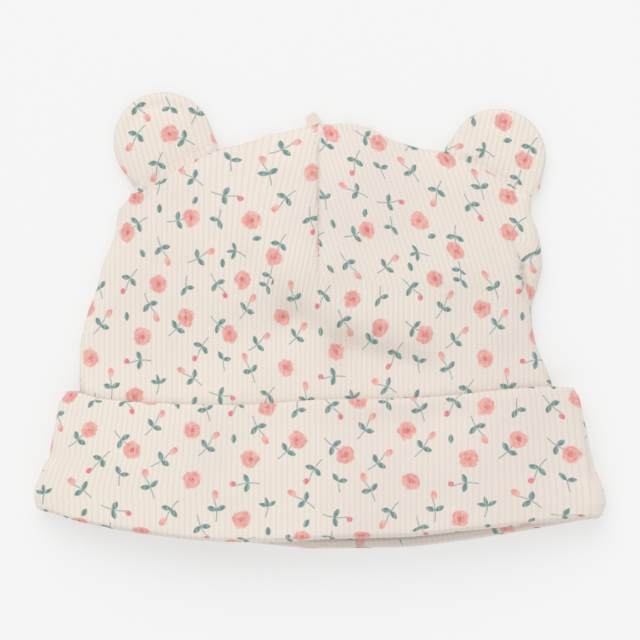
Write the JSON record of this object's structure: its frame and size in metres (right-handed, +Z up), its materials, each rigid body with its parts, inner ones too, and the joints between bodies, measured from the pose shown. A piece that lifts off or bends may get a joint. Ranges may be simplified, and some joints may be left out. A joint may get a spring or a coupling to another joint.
{
  "type": "baby hat with ears",
  "caption": "Newborn's ribbed knit beanie with round ears in the crown seam and a turned-up cuff, lying flat on its back.",
  "frame": {"origin": "on the surface that the hat lies on, under the middle of the whole hat", "axes": "+X to the right as seen from above, across the hat; +Y from the mouth to the crown; +Z up, out of the front"},
  "size_m": [0.1722, 0.1376, 0.0172],
  "materials": {
    "printed_rib": "fine cream rib knit with a small scattered print of pink roses, buds and blue-green leaves",
    "bare_rib": "unprinted wrong side of the cream rib knit"
  },
  "bodies": {
    "root": {"crown": "printed_rib", "cuff": "printed_rib", "ear_left": "printed_rib", "ear_right": "printed_rib", "seam_tip": "bare_rib"}
  },
  "joints": []
}
